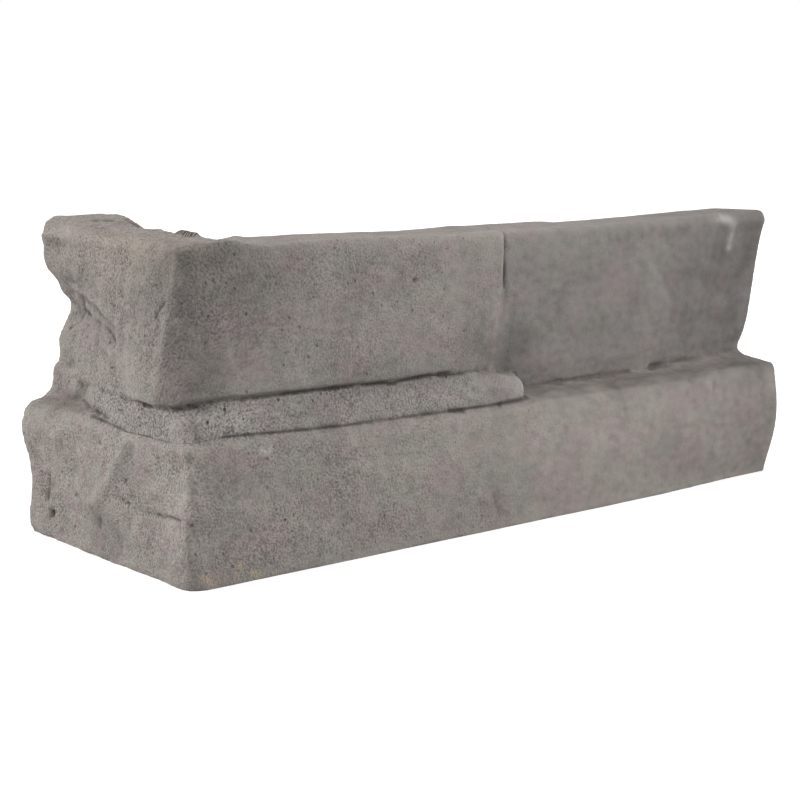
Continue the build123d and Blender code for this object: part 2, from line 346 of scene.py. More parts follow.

# Soft areas that are darker, or below zero lighter, than their stone's own tone: some are stains, and the
# groups below say where painted shade and painted light lie
TONES_AND_PAINTED_SHADING = patches(
    # Upper stone round the outer corner: darker as a stain and as painted shade
    ((20, 2, 86), (18, 8, 18), 0.42),
    ((14, 2, 97), (18, 8, 7), 0.35),
    ((0, 13, 88), (6, 14, 16), 0.5),
    ((12, 2, 92), (10, 8, 8), 0.15),
    ((4, 3, 76), (4.5, 5, 22), -0.35),
    ((20, 2, 66), (14, 8, 14), -0.05),
    # Upper stone, long face: a painted highlight along its top edge, a darker band above the lip, and
    # painted shade in the hollow beside the upright joint
    ((100, 2, 99), (60, 8, 6), -0.2),
    ((72, 1.5, 56.5), (56, 4, 2.2), 0.22),
    ((114, 6, 62), (18, 8, 10), 0.45),
    ((137, 8, 63), (9, 8, 7), 0.45),
    ((138, 9, 55), (10, 8, 5), 0.2),
    ((172, 8, 60), (24, 8, 10), 0.12),
    # Thin middle stone, with painted shade along its top under the lip
    ((17, 2, 48.5), (12, 8, 5), -0.75),
    ((5, 3.5, 47.5), (2.2, 3.5, 4.5), 0.5),
    ((46, 4, 49), (18, 8, 5), 0.3),
    ((75, 3, 52.8), (60, 4, 1.8), 0.3),
    ((128, 5, 51.6), (22, 9, 2), 0.42),
    # Ledge of the bottom course: painted shade under the upper right stone
    ((190, 7, 44), (60, 5, 2.5), 0.7),
    ((205, 1.8, 42.5), (66, 3.5, 2.8), 0.62),
    ((165, 0, 38), (30, 5, 4), 0.15),
    # Bottom course round the outer corner
    ((1, 10, 30), (5, 8, 12), -0.2),
    ((3, 1.2, 20), (3, 3, 22), -0.45),
    ((14, 0.7, 41.5), (10, 6, 4), -0.2),
    ((11, 0.5, 24), (8, 8, 30), 0.18),
    ((26, 0, 10), (16, 8, 12), -0.12),
    # Bottom course, long face: painted light on its upper part, which tilts up, and a darker patch near the
    # right end
    ((85, 1, 18), (22, 8, 14), -0.25),
    ((170, 0, 29), (26, 8, 10), -0.15),
    ((190, 0, 27), (50, 8, 9), -0.2),
    ((222, 1, 22), (30, 8, 22), 0.22),
    # Right end: a stain and painted shade on the upper right stone, which leans forward, and darker low down
    ((262, 12, 78), (44, 20, 34), 0.65),
    ((268, 2, 24), (18, 10, 30), 0.7),
    # Short face, upper stone
    ((1, 30, 62), (6, 20, 10), -0.2),
    ((4, 50, 71), (4, 9, 5), 0.25),
    ((9, 67, 70.5), (9, 14, 6), 0.26),
    # Short face, bottom course
    ((3, 88, 30), (8, 14, 14), -0.3),
    ((0, 75, 30), (8, 16, 14), -0.15),
    ((1.4, 50, 7), (6, 12, 8), 0.6),
    # Painted shade in the recess above the shoulder, under the upper stone
    ((4, 80, 44.3), (8, 16, 2.7), 0.75),
    ((0, 28, 24), (8, 42, 22), -0.1),
    ((0.5, 86, 38), (5, 8, 6), 0.26),
    ((0.8, 56, 40), (5, 8, 4), 0.24),
    ((1, 30.5, 29), (4, 5, 7), 0.3),
)

# Where less dust and painted shade is laid in the gap under the lip: at the outer corner, on the short face
# and below the upright joint
LIGHTER_GAP_SPOTS = patches(
    ((8, 5, 54), (13, 9, 4), 0.8),
    ((2.2, 36, 52), (5, 6, 4), 0.65),
    ((127.5, 7, 54.5), (10, 8, 4), 0.85),
)

# Where the skin of the upper left stone is drawn out in fine streaks
STREAKS = Patch((16, 1, 66), (34, 10, 17), 0.6)

# The pale hooked smear by the right end, and the pale scuffs near the outer corner
CHALK_MARKS = strokes(
    (1.3, 0.3, (243.5, 8.6, 99.8), (246, 8.8, 99.9)),
    (1.9, 0.6, (246, 8.8, 99.9), (250.4, 8.4, 99.2), (252.4, 8.3, 97.6)),
    (1.5, 0.4, (252.4, 8.3, 97.6), (252.5, 8.8, 95.3), (252.3, 9.2, 92.6), (251.9, 9.6, 90)),
    (1.7, 0.75, (251.9, 9.7, 89)),
    (0.9, 0.5, (0.9, 69.6, 30)),
    (0.9, 0.35, (-0.4, 15.3, 78.1)),
    (0.8, 0.5, (26.5, 0.2, 39.2), (28.8, 0.2, 38.2), (29.6, 0.2, 39.6)),
    (0.7, 0.35, (2.6, 1.6, 38), (3, 1.4, 34)),
)

# The sandy top of the short leg, and small dried spatters of pale sand
SANDY_TOP = Patch((2, 40, 100), (16, 50, 8), 0.35)
TAN_MARKS = strokes(
    (1, 1.2, (5.2, 0.8, 3.6), (7.4, 0.8, 2.4)),
    (0.8, 1.2, (8.8, 0.7, 1.8), (10, 0.7, 2.2)),
    (0.8, 1.2, (17.4, 0.5, 7), (18.4, 0.5, 5)),
    (0.8, 1.1, (16.6, 0.5, 3.4)),
    (0.9, 1.2, (22.4, 0.8, 2.4), (24.6, 0.8, 1.6)),
    (0.7, 1, (31.5, 0.6, 1.4)),
    (0.8, 1, (1.4, 72, 4.5)),
)


class ShaderNodes:
    """Short ways to add nodes, and the values that a surface is mixed from."""

    def __init__(self, owner: bpy.types.ID) -> None:
        """Start with an empty tree.

        Args:
            owner: The material or world that the nodes are for.
        """
        owner.use_nodes = True
        owner.node_tree.nodes.clear()
        self.tree = owner.node_tree
        self.values: dict[str, Socket] = {}

    def place(self) -> Socket:
        """The shaded point's place, in object coordinates."""
        return add_node(self.tree, "ShaderNodeTexCoord").outputs["Object"]

    def mark(self, name: str) -> Socket:
        """A value that the mesh carries on its points."""
        return add_node(self.tree, "ShaderNodeAttribute", attribute_name=name).outputs["Fac"]

    def mapped(self, vector: object, **inputs: object) -> Socket:
        """Turned or stretched coordinates."""
        return add_node(self.tree, "ShaderNodeMapping", {"Vector": vector, **inputs}).outputs[0]

    def swells(self, vector: object, size_mm: float, detail: float, roughness: float = 0.55) -> Socket:
        """Noise with swells of one size."""
        inputs = {"Vector": vector, "Scale": 1 / (size_mm * MM), "Detail": detail, "Roughness": roughness}
        return add_node(self.tree, "ShaderNodeTexNoise", inputs).outputs["Fac"]

    def ranged(self, value: object, low: float, high: float, start: float = 0, end: float = 1) -> Socket:
        """Stretch a value from one range to another, clamped."""
        inputs = {"Value": value, "From Min": low, "From Max": high, "To Min": start, "To Max": end}
        return add_node(self.tree, "ShaderNodeMapRange", inputs).outputs["Result"]

    def mixed(self, share: object, under: object, over: object) -> Socket:
        """Lay one colour over another."""
        inputs = {"Factor": share, 6: under, 7: over}
        return add_node(self.tree, "ShaderNodeMix", inputs, data_type="RGBA").outputs[2]

    def worked(self, operation: str, first: object, second: object) -> Socket:
        """Work out one sum of two values."""
        return add_node(self.tree, "ShaderNodeMath", {0: first, 1: second}, operation=operation).outputs[0]

    def times(self, first: object, second: object) -> Socket:
        """Multiply two values."""
        return self.worked("MULTIPLY", first, second)


@dataclass(frozen=True)
class Tint:
    """A thin layer of one pigment, which comes in where a noise runs from begin to full."""

    noise: str
    begin: float
    full: float
    strength: float
    pigment: str
    fade: str | None = None  # the value that weakens it along the long leg


# Soft clouds of pigment, and the finer specks over them
CLOUDS = (
    Tint("mottle", 0.5, 0.75, 0.5, "light"),
    Tint("mottle", 0.5, 0.25, 0.35, "dark"),
    Tint("blotch", 0.52, 0.7, 0.3, "dark", "crisp"),
    Tint("blotch", 0.48, 0.3, 0.22, "light", "grain"),
    Tint("hue", 0.5, 0.7, 0.6, "rose", "crisp"),
    Tint("hue", 0.5, 0.3, 0.45, "sage", "crisp"),
)
SPECKS = (
    Tint("coarse", 0.5, 0.75, 0.22, "light", "crisp"),
    Tint("coarse", 0.5, 0.25, 0.22, "dark", "crisp"),
    Tint("grit", 0.5, 0.68, 0.8, "light", "grain"),
    Tint("grit", 0.5, 0.32, 0.8, "dark", "grain"),
)

# What the mesh carries on its points for the material
SURFACE_MARKS = ("dirt_and_shade", "wear_and_highlight", "cool", "tone", "tan", "chalk", "grain", "foot", "crumb", "streak")


@dataclass(frozen=True)
class CastConcrete:
    """Wet-cast pigmented concrete, the stuff of manufactured veneer stone.

    It is poured in a mould taken from split rock, so it is matt, fine-grained with sand, and pocked by small
    air bubbles.
    It is darker in its hollows, where dust sits and where shade is painted, and its arrises are paler with
    wear and a painted highlight.
    """

    name: str = "cast_concrete"
    body: str = "948d88"
    light: str = "aaa39d"
    dark: str = "5f5956"
    # the dark colour of dirt, also laid as painted shade in hollows, bubbles, cracks and the foot line
    dirt_and_shade: str = "37322f"
    cool: str = "8c8c8d"
    tan: str = "b5a587"
    rose: str = "98888a"
    sage: str = "8d8e86"
    chalk: str = "dad8d5"
    grit_mm: float = 0.78  # sand grains that show
    speck_mm: float = 2.808  # clusters of them
    mottle_mm: float = 22.0  # cloudy patches of pigment
    blotch_mm: float = 5.5  # smaller ones
    hue_mm: float = 9.0  # patches of warmer and greener pigment
    stretch: float = 0.75  # scale of patches along the long face, which draws them out
    bubble_mm: float = 3.2  # spacing of the small air bubbles
    bubble_chance: float = 0.75  # share of the spacings that hold none
    crumb_band_mm: float = 1.2  # bands in the broken crumb on the top
    streak_tilt: float = 20.0  # degrees that the drawn streaks rise along the long face
    streak_stretch: float = 0.35  # scale of the grains along those streaks
    grain_mm: float = 0.7  # height of the grains in the bump
    smoothest: float = 0.86  # roughness of the dark grains
    roughest: float = 0.98  # and of the light ones

    def material(self) -> bpy.types.Material:
        """Make the material.

        Returns:
            A Principled material with procedural colour, roughness and bump.
        """
        material = bpy.data.materials.new(self.name)
        nodes = ShaderNodes(material)
        for name in SURFACE_MARKS:
            nodes.values[name] = nodes.mark(name)
        self.add_noises(nodes)
        inputs = {
            "Base Color": self.colour(nodes),
            "Roughness": nodes.ranged(nodes.values["grit"], 0.3, 0.7, self.smoothest, self.roughest),
            "Specular IOR Level": 0.3,
            "Normal": self.bump(nodes),
        }
        shader = add_node(nodes.tree, "ShaderNodeBsdfPrincipled", inputs)
        add_node(nodes.tree, "ShaderNodeOutputMaterial", {"Surface": shader.outputs["BSDF"]})
        return material

    def add_noises(self, nodes: ShaderNodes) -> None:
        """Add the noises that place pigment, sand and small air bubbles.

        Args:
            nodes: The material's nodes.
        """
        values = nodes.values
        place = nodes.place()
        along = nodes.mapped(place, Scale=(self.stretch, 1.0, 1.0))
        values["mottle"] = nodes.swells(place, self.mottle_mm, 4.0)
        values["blotch"] = nodes.swells(along, self.blotch_mm, 4.0)
        values["hue"] = nodes.swells(along, self.hue_mm, 2.0)
        values["coarse"] = nodes.swells(along, self.speck_mm, 0.6)
        tilted = nodes.mapped(place, Rotation=(0.0, math.radians(self.streak_tilt), 0.0))
        drawn = nodes.mapped(tilted, Scale=(self.streak_stretch, 1.0, 1.0))
        round_grit = nodes.swells(place, self.grit_mm, 3.0, 0.65)
        drawn_grit = nodes.swells(drawn, self.grit_mm, 3.0, 0.65)
        inputs = {"Factor": values["streak"], 2: round_grit, 3: drawn_grit}
        values["grit"] = add_node(nodes.tree, "ShaderNodeMix", inputs).outputs[0]
        values["crisp"] = nodes.ranged(values["grain"], 0.0, 0.6, 0.75, 1.0)  # fades less than the grain

        inputs = {"Vector": place, "Scale": 1 / (self.bubble_mm * MM)}
        cells = add_node(nodes.tree, "ShaderNodeTexVoronoi", inputs).outputs
        draw = add_node(nodes.tree, "ShaderNodeSeparateColor", {"Color": cells["Color"]}).outputs["Red"]
        chosen = nodes.worked("GREATER_THAN", draw, self.bubble_chance)
        hole = nodes.times(nodes.ranged(cells["Distance"], 0.2, 0.1), chosen)
        values["bubble"] = nodes.times(hole, values["grain"])

    def tinted(self, nodes: ShaderNodes, colour: object, tints: tuple[Tint, ...]) -> Socket:
        """Lay thin layers of pigment over a colour.

        Args:
            nodes: The material's nodes.
            colour: What the layers lie on.
            tints: The layers, lowest first.

        Returns:
            The new colour.
        """
        for tint in tints:
            share = nodes.ranged(nodes.values[tint.noise], tint.begin, tint.full, 0.0, tint.strength)
            if tint.fade:
                share = nodes.times(share, nodes.values[tint.fade])
            colour = nodes.mixed(share, colour, linear(getattr(self, tint.pigment)))
        return colour

    def colour(self, nodes: ShaderNodes) -> Socket:
        """Lay pigment, sand, worn arrises with a painted highlight, dirt with painted shade, and chalk over
        the body, then tone it with stains, painted light and painted shade.

        Args:
            nodes: The material's nodes.

        Returns:
            The concrete's colour.
        """
        values = nodes.values
        colour = nodes.mixed(values["cool"], linear(self.body), linear(self.cool))
        colour = self.tinted(nodes, colour, CLOUDS)
        sand = nodes.times(values["tan"], nodes.ranged(values["grit"], 0.42, 0.52, 0.15, 1.0))
        colour = nodes.mixed(sand, colour, linear(self.tan))
        colour = self.tinted(nodes, colour, SPECKS)
        # Ridges and arrises paler: wear, with a painted highlight
        colour = nodes.mixed(nodes.times(values["wear_and_highlight"], 0.2), colour, linear(self.light))

        # A dark line of dirt and painted shade where the thin middle stone stands on the ledge
        foot_dirt_and_shade = nodes.ranged(nodes.worked("ABSOLUTE", values["foot"], 0.0), 0.7, 0.15)
        foot_dirt_and_shade = nodes.times(foot_dirt_and_shade, nodes.ranged(values["blotch"], 0.3, 0.6, 0.25, 0.8))
        inputs = {"Vector": nodes.place(), "Scale": 0.3 / (self.crumb_band_mm * MM), "Distortion": 9.0}
        bands = add_node(nodes.tree, "ShaderNodeTexWave", inputs, bands_direction="Y").outputs["Fac"]
        crumb = nodes.times(nodes.ranged(bands, 0.7, 0.4, 0.2, 1.0), values["crumb"])
        # The dark colour goes in as dirt and painted shade in the air bubbles and hollows, along the foot
        # line, and into the crumb's bands
        for share in (nodes.times(values["bubble"], 0.5), values["dirt_and_shade"], foot_dirt_and_shade, crumb):
            colour = nodes.mixed(share, colour, linear(self.dirt_and_shade))

        chalk = nodes.times(values["chalk"], nodes.ranged(values["coarse"], 0.3, 0.6, 0.8, 1.1))
        colour = nodes.mixed(chalk, colour, linear(self.chalk))
        # Stone tone, stains, painted shade and painted light darken or lighten the whole colour
        tone = nodes.worked("SUBTRACT", 1.0, nodes.times(values["tone"], 0.5))
        inputs = {0: colour, "Scale": tone}
        return add_node(nodes.tree, "ShaderNodeVectorMath", inputs, operation="SCALE").outputs[0]

    def bump(self, nodes: ShaderNodes) -> Socket:
        """Raise the sand and sink the air bubbles.

        Args:
            nodes: The material's nodes.

        Returns:
            The bumped normal.
        """
        values = nodes.values
        sand = nodes.times(values["grit"], values["grain"])
        clusters = nodes.times(values["coarse"], nodes.times(values["crisp"], 0.55))
        height = nodes.worked("ADD", sand, clusters)
        height = nodes.worked("SUBTRACT", height, nodes.times(values["bubble"], 0.5))
        inputs = {"Height": height, "Distance": self.grain_mm * MM, "Strength": 1.0}
        return add_node(nodes.tree, "ShaderNodeBump", inputs).outputs["Normal"]


@dataclass
class RockRelief:
    """The rough rock faces, worked into an even mesh: swells, ridges, pits and the riven top."""

    bubble_count: int = 130
    seed: int = 7
    swell_mm: float = 0.30  # broad swells of every face
    wave_mm: float = 0.14  # smaller ones on them
    short_crag_mm: float = 0.34  # what the short face adds to its stones' crags
    short_ridge_mm: float = 0.26  # sharp ridges of the short face
    fine_mm: float = 0.05  # unevenness of the skin between the sand grains
    drawn_mm: float = 0.09  # slanting streaks of the upper left stone
    tread_mm: float = 0.45  # steps of the short leg's riven top
    nose_reach_mm: float = 3.8  # how much further right the thin middle stone ends than its solid
    nose_droop_mm: float = 2.0  # and how much lower
    foot_forward_mm: float = 1.0  # how far the upper right stone's foot comes forward
    marks: tuple[Stroke, ...] = SHORT_FACE_MARKS + DARK_MARKS + LONG_FACE_MARKS + TOP_MARKS

    def stone_shares(self, places: Array) -> dict[Stone, Array]:
        """How much each place belongs to each of the four stones.

        Args:
            places: Surface points in mm.

        Returns:
            A share from 0 to 1 for each stone and place.
        """
        x, y, z = places.T
        top = LIP_Z - 2.2 * smooth(124, 136, x)
        end = TONGUE_END_X - 4.0 * smooth(48, 54, z)
        strip = smooth(42.6, 43.8, z) * smooth(top + 0.6, top - 0.6, z) * smooth(end + 1.5, end, x)
        strip *= smooth(TONGUE_END_Y, TONGUE_END_Y - 14.0, y)
        strip *= 1.0 - smooth(134, 138, x) * smooth(8.5, 10, y)
        upper = smooth(LEDGE_Z, LEDGE_Z + 4.0, z) * (1.0 - strip)
        right = smooth(JOINT_X - 0.5, JOINT_X + 0.5, x)
        return {
            Stone.LOWER: (1.0 - upper) * (1.0 - strip),
            Stone.MIDDLE: strip,
            Stone.UPPER_LEFT: upper * (1.0 - right),
            Stone.UPPER_RIGHT: upper * right,
        }

    def bend(self, places: Array) -> Array:
        """Let the lines of the solid run as irregularly as the real ones do.

        Args:
            places: Surface points of the even solid, in mm.

        Returns:
            The same points, moved.
        """
        x, y, z = places.T
        bent = places.copy()

        nose = smooth(121, 136, x) * smooth(20, 14, y)
        reach = smooth(166, 142, x) * smooth(42, 43.5, z) * smooth(58, 52, z)
        droop = smooth(150, 138, x) * smooth(46, 51.5, z) * smooth(58, 53.8, z)
        bent[:, 0] += self.nose_reach_mm * nose * reach
        bent[:, 2] -= self.nose_droop_mm * nose * droop

        # Lip, foot and crease rise and fall on the outer faces
        outer = smooth(30, 22, np.minimum(x, y))
        left = smooth(134, 126, x)
        bent[:, 2] += (LIP.lift(places) * left + FOOT.lift(places) + LEDGE_CREASE.lift(places)) * outer

        # The lower half of the upright joint is filled between its two sides
        closed = smooth(116, 118.5, x) * smooth(135.5, 133, x)
        closed = closed * smooth(93, 72, z) * smooth(54, 55.5, z)
        left_side = np.interp(z, JOINT_LEVELS, JOINT_LEFT)
        right_side = np.interp(z, JOINT_LEVELS, JOINT_RIGHT)
        across = left_side + (right_side - left_side) * smooth(117, 134, x)
        bent[:, 1] += (across - bent[:, 1]) * closed * (y < 14.0)

        right_foot = smooth(44.5, 47, z) * smooth(62, 50, z)
        right_foot = right_foot * smooth(138, 150, x) * smooth(264, 250, x)
        bent[:, 1] -= self.foot_forward_mm * right_foot * smooth(30, 20, y)
        return bent

    def bubbles(self, places: Array, normals: Array) -> Array:
        """Scatter small air bubbles over the cast faces.

        Args:
            places: Surface points in mm.
            normals: Their unit normals.

        Returns:
            How far each place sinks, below zero.
        """
        draw = np.random.default_rng(self.seed)
        open_face = np.flatnonzero((normals[:, 1] < -0.8) | (normals[:, 0] < -0.8))
        sunk = np.zeros(len(places))
        for index in draw.choice(open_face, self.bubble_count, replace=False):
            radius = draw.uniform(0.5, 1.0)
            near = np.flatnonzero(np.abs(places - places[index]).max(axis=1) < 3.0 * radius)
            gap = np.linalg.norm(places[near] - places[index], axis=1)
            fade = np.interp(places[index, 0], (100.0, 160.0), (1.0, 0.25))
            sunk[near] -= fade * draw.uniform(0.25, 0.6) * np.exp(-((gap / radius) ** 2))
        return sunk

    def lift(self, places: Array, normals: Array) -> Array:
        """How far each place moves out along its normal.

        Args:
            places: Surface points in mm.
            normals: Their unit normals.

        Returns:
            A height in mm for each place.
        """
        x, y, z = places.T
        shares = self.stone_shares(places)
        near = 1.0 - 0.6 * smooth(110, 200, x)  # the far end is smoother
        short = smooth(0.35, 0.85, -normals[:, 0]) * smooth(30, 26, x)  # 1 on the short face
        up = smooth(0.45, 0.85, normals[:, 2]) * smooth(96, 99, z)  # 1 on the top
        riven = up * smooth(42, 30, x) * smooth(100, 88, y)  # 1 on the short leg's top

        craggy = wander(places, 10, 12.3, 3)
        coarse = wander(places, 2.4, 21.4, 2)
        upright = places * np.array((1.0, 1.0, 0.55))
        ridged = 1.0 - 2.0 * np.abs(wander(upright, 11, 41.0, 2))
        rough = sum(SKINS[stone].rough * share for stone, share in shares.items())
        gritty = sum(SKINS[stone].coarse * share for stone, share in shares.items())
        swell = self.swell_mm * wander(places, 30, 3.1, 2) + self.wave_mm * wander(places, 9, 7.7, 2)
        lift = swell + near * (rough + self.short_crag_mm * short) * craggy + gritty * coarse
        lift += self.short_ridge_mm * short * ridged
        lift += self.fine_mm * near * wander(places, 1.8, 2.2)
        lift += self.bubbles(places, normals)
        lift += near * self.drawn(places) * shares[Stone.UPPER_LEFT] * (1.0 - short)
        lift = lift * (1.0 - riven - 0.5 * (up - riven)) + self.steps(places, craggy, coarse) * riven
        for mark in self.marks:
            lift += mark.lift(places)
        return lift

    def drawn(self, places: Array) -> Array:
        """Fine streaks that slant up along the long face, in mm."""
        slant = places @ np.array(((0.82, 0.0, 0.57), (0.0, 1.0, 0.0), (-0.57, 0.0, 0.82))).T
        return self.drawn_mm * wander(slant * np.array((0.22, 1.0, 1.0)), 2.6, 71.0, 2)

    def steps(self, places: Array, craggy: Array, coarse: Array) -> Array:
        """The riven top: rock split along its layers, in small steps.

        Args:
            places: Surface points in mm.
            craggy: The crags' noise there.
            coarse: The pebbly noise there.

        Returns:
            A height in mm for each place.
        """
        layers = 3.0 * wander(places * np.array((1.0, 1.0, 0.2)), 20.0, 31.0, 3)
        treads = np.floor(layers) + smooth(0.75, 1, layers % 1.0)
        return self.tread_mm * treads + 0.35 * craggy + 0.12 * coarse

    def keep_flats(self, places: Array, moved: Array) -> Array:
        """Hold the bed, both ends and both wall faces in their planes.

        Args:
            places: Surface points before the relief, in mm.
            moved: The same points after it.

        Returns:
            The moved points, with those of a flat face back in its plane.
        """
        x, y, _ = places.T
        on_face, held_within, free_beyond = 0.2, 0.5, 1.6  # distances from a plane, in mm
        drawn_within = 1.4  # points this near the bed or the end are drawn to it
        behind = (x > THICKNESS - 0.7) & (y > THICKNESS - 0.7)
        planes = (
            (2, 0.0, True),
            (0, LENGTH, True),
            (1, RETURN, True),
            (1, THICKNESS, behind),
            (0, THICKNESS, behind),
        )
        held = moved.copy()
        for axis, plane, within in planes:
            values = places[:, axis]
            gap = np.abs(values - plane)
            share = smooth(free_beyond, held_within, gap) * within
            flat = np.where(gap < on_face, plane, values)
            held[:, axis] = held[:, axis] * (1.0 - share) + flat * share
        held[:, 2] *= smooth(0, drawn_within, held[:, 2])
        short_by = LENGTH - held[:, 0]
        held[:, 0] = LENGTH - short_by * smooth(0, drawn_within, short_by)
        return held

    def relaxed(self, places: Array, edges: Array, rounds: int) -> Array:
        """Smooth the surface: each point moves to the middle of its neighbours, so often.

        Args:
            places: Surface points.
            edges: The two points of each edge.
            rounds: How often they move.

        Returns:
            The smoothed points.
        """
        first, second = edges.T
        count = len(places)
        degree = np.bincount(first, minlength=count) + np.bincount(second, minlength=count)
        soft = places.copy()
        for _ in range(rounds):
            sums = [
                np.bincount(first, soft[second, axis], count) + np.bincount(second, soft[first, axis], count)
                for axis in range(3)
            ]
            soft = np.stack(sums, axis=1) / np.maximum(degree, 1)[:, None]
        return soft


@dataclass
class CornerPiece:
    """The cast unit: a fine copy of its solid with the rock relief, in cast concrete."""

    node: str = "corner_piece"
    first_voxel_mm: float = 0.6
    voxel_mm: float = 0.79
    flat_faces_kept: float = 0.06  # share of the faces that the flat sides keep when thinned
    fine_rounds: int = 6  # rounds of smoothing that level small hollows
    broad_rounds: int = 60  # and broad ones
    sharp_angle: float = 50.0  # degrees past which an edge is drawn sharp
    relief: RockRelief = field(default_factory=RockRelief)
    finish: CastConcrete = CastConcrete()

    def fine_copy(self) -> bpy.types.Object:
        """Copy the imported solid, merge it, and cut it into small even faces.

        Returns:
            The new object, at the origin, with its place in its mesh.
        """
        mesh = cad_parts[self.node].data.copy()
        mesh.materials.clear()
        shell = bmesh.new()
        shell.from_mesh(mesh)
        bmesh.ops.remove_doubles(shell, verts=shell.verts, dist=1e-6)
        shell.to_mesh(mesh)
        shell.free()
        piece = bpy.data.objects.new("cast_corner_piece", mesh)
        bpy.context.scene.collection.objects.link(piece)
        self.apply(piece, "REMESH", mode="VOXEL", voxel_size=self.first_voxel_mm * MM)
        return piece

    def apply(self, piece: bpy.types.Object, kind: str, **settings: object) -> None:
        """Add one modifier to the piece and keep its result as the piece's mesh.

        Args:
            piece: The object.
            kind: The modifier's type.
            settings: Its attributes.
        """
        modifier = piece.modifiers.new(kind.lower(), kind)
        for name, value in settings.items():
            setattr(modifier, name, value)
        evaluated = piece.evaluated_get(bpy.context.evaluated_depsgraph_get())
        result = bpy.data.meshes.new_from_object(evaluated)
        piece.modifiers.clear()
        piece.data = result

    def read(self, mesh: bpy.types.Mesh) -> tuple[Array, Array]:
        """Read a mesh's vertices.

        Args:
            mesh: The mesh.

        Returns:
            Their places in mm from the outer corner, and their unit normals.
        """
        places = np.empty(len(mesh.vertices) * 3, np.float32)
        normals = np.empty_like(places)
        mesh.vertices.foreach_get("co", places)
        mesh.vertex_normals.foreach_get("vector", normals)
        return places.reshape(-1, 3).astype(float) / MM + FRAME_ZERO, normals.reshape(-1, 3).astype(float)

    def write(self, mesh: bpy.types.Mesh, places: Array) -> None:
        """Move a mesh's vertices, but not out of the solid's box.

        Args:
            mesh: The mesh.
            places: Where they go, in mm from the outer corner.
        """
        low, high = (np.array(corner) / MM + FRAME_ZERO for corner in CAD_BOX)
        inside = (np.clip(places, low, high) - FRAME_ZERO) * MM
        mesh.vertices.foreach_set("co", inside.astype(np.float32).ravel())
        mesh.update()

    def carve(self, piece: bpy.types.Object) -> None:
        """Bend the lines, even out the mesh, and move it to the rock relief.

        Args:
            piece: The fine copy.
        """
        self.write(piece.data, self.relief.bend(self.read(piece.data)[0]))
        self.apply(piece, "REMESH", mode="VOXEL", voxel_size=self.voxel_mm * MM, use_smooth_shade=True)
        places, normals = self.read(piece.data)
        moved = places + normals * self.relief.lift(places, normals)[:, None]
        self.write(piece.data, self.relief.keep_flats(places, moved))

    def hollows(self, mesh: bpy.types.Mesh, rounds: int) -> Array:
        """How deep each place lies in its hollow, in mm; below zero on a ridge or arris.

        Args:
            mesh: The mesh with its relief.
            rounds: How often it is smoothed to find the level around each place.

        Returns:
            A depth for each vertex.
        """
        places, normals = self.read(mesh)
        edges = np.empty(len(mesh.edges) * 2, np.int32)
        mesh.edges.foreach_get("vertices", edges)
        level = self.relief.relaxed(places, edges.reshape(-1, 2), rounds)
        return np.sum((level - places) * normals, axis=1)

    def grain(self, places: Array, wall_side: Array) -> Array:
        """How strongly the sand shows: less and less along the long leg.

        Args:
            places: Surface points in mm.
            wall_side: 1 on the wall faces, where it shows evenly.

        Returns:
            A strength for each place.
        """
        stations = (4, 20, 60, 110, 145, 220)
        shown = np.interp(places[:, 0], stations, (1.05, 0.85, 0.75, 0.5, 0.2, 0.12))
        shown *= 1.0 + 0.5 * wander(places, 14, 61.0, 2)
        return shown * (1.0 - wall_side) + 0.55 * wall_side

    def above_foot(self, places: Array) -> Array:
        """Height above the foot of the thin middle stone, where a dark line of dirt and painted shade runs.

        It grows faster where that line is thinner: at the outer corner and on the short face.

        Args:
            places: Surface points in mm.

        Returns:
            A height for each place, far from zero where there is no foot.
        """
        x, y, z = places.T
        thinner = 1.0 + 5.0 * smooth(15, 9, np.abs(x - y + 1.5)) - 0.45 * smooth(118, 130, x)
        thinner += 1.2 * smooth(10, 6, x) * smooth(38, 32, y)
        near = smooth(143, 140, x) * smooth(62, 54, y) * smooth(30, 20, np.minimum(x, y))
        return np.where(near > 0.5, (z - LEDGE_Z - FOOT.height(places)) * thinner, 9.0)

    def weather(self, piece: bpy.types.Object) -> None:
        """Note on the surface where dirt and painted shade sit, where arrises are worn and carry a painted
        highlight, and where stains, tints, painted light and painted shade lie.

        Args:
            piece: The object with its relief.
        """
        mesh = piece.data
        places, _ = self.read(mesh)
        x, y, _ = places.T
        fine = self.hollows(mesh, self.fine_rounds)
        broad = self.hollows(mesh, self.broad_rounds)
        wall_side = smooth(THICKNESS - 1.0, THICKNESS - 0.2, np.minimum(x, y))
        shares = self.relief.stone_shares(places)
        skin = {
            name: sum(getattr(SKINS[stone], name) * share for stone, share in shares.items())
            for name in ("tone", "cool", "grain")
        }
        # Soft patches of stain, painted shade and painted light
        tone = sum(patch.cover(places) for patch in TONES_AND_PAINTED_SHADING) * (1.0 + 0.5 * wander(places, 9, 55.0, 2))
        gap_lightening = sum(spot.cover(places) for spot in LIGHTER_GAP_SPOTS)
        # Dust and painted shade in broad hollows, and in small ones below; less of both at the lighter spots
        # in the gap under the lip
        dust_and_hollow_shade = 0.5 * smooth(0.35, 1.2, broad) * smooth(150, 130, x) * (1.0 - 0.75 * wall_side)
        dirt_and_shade = (dust_and_hollow_shade + 0.5 * smooth(0.1, 0.4, fine)) * (1.0 - gap_lightening)
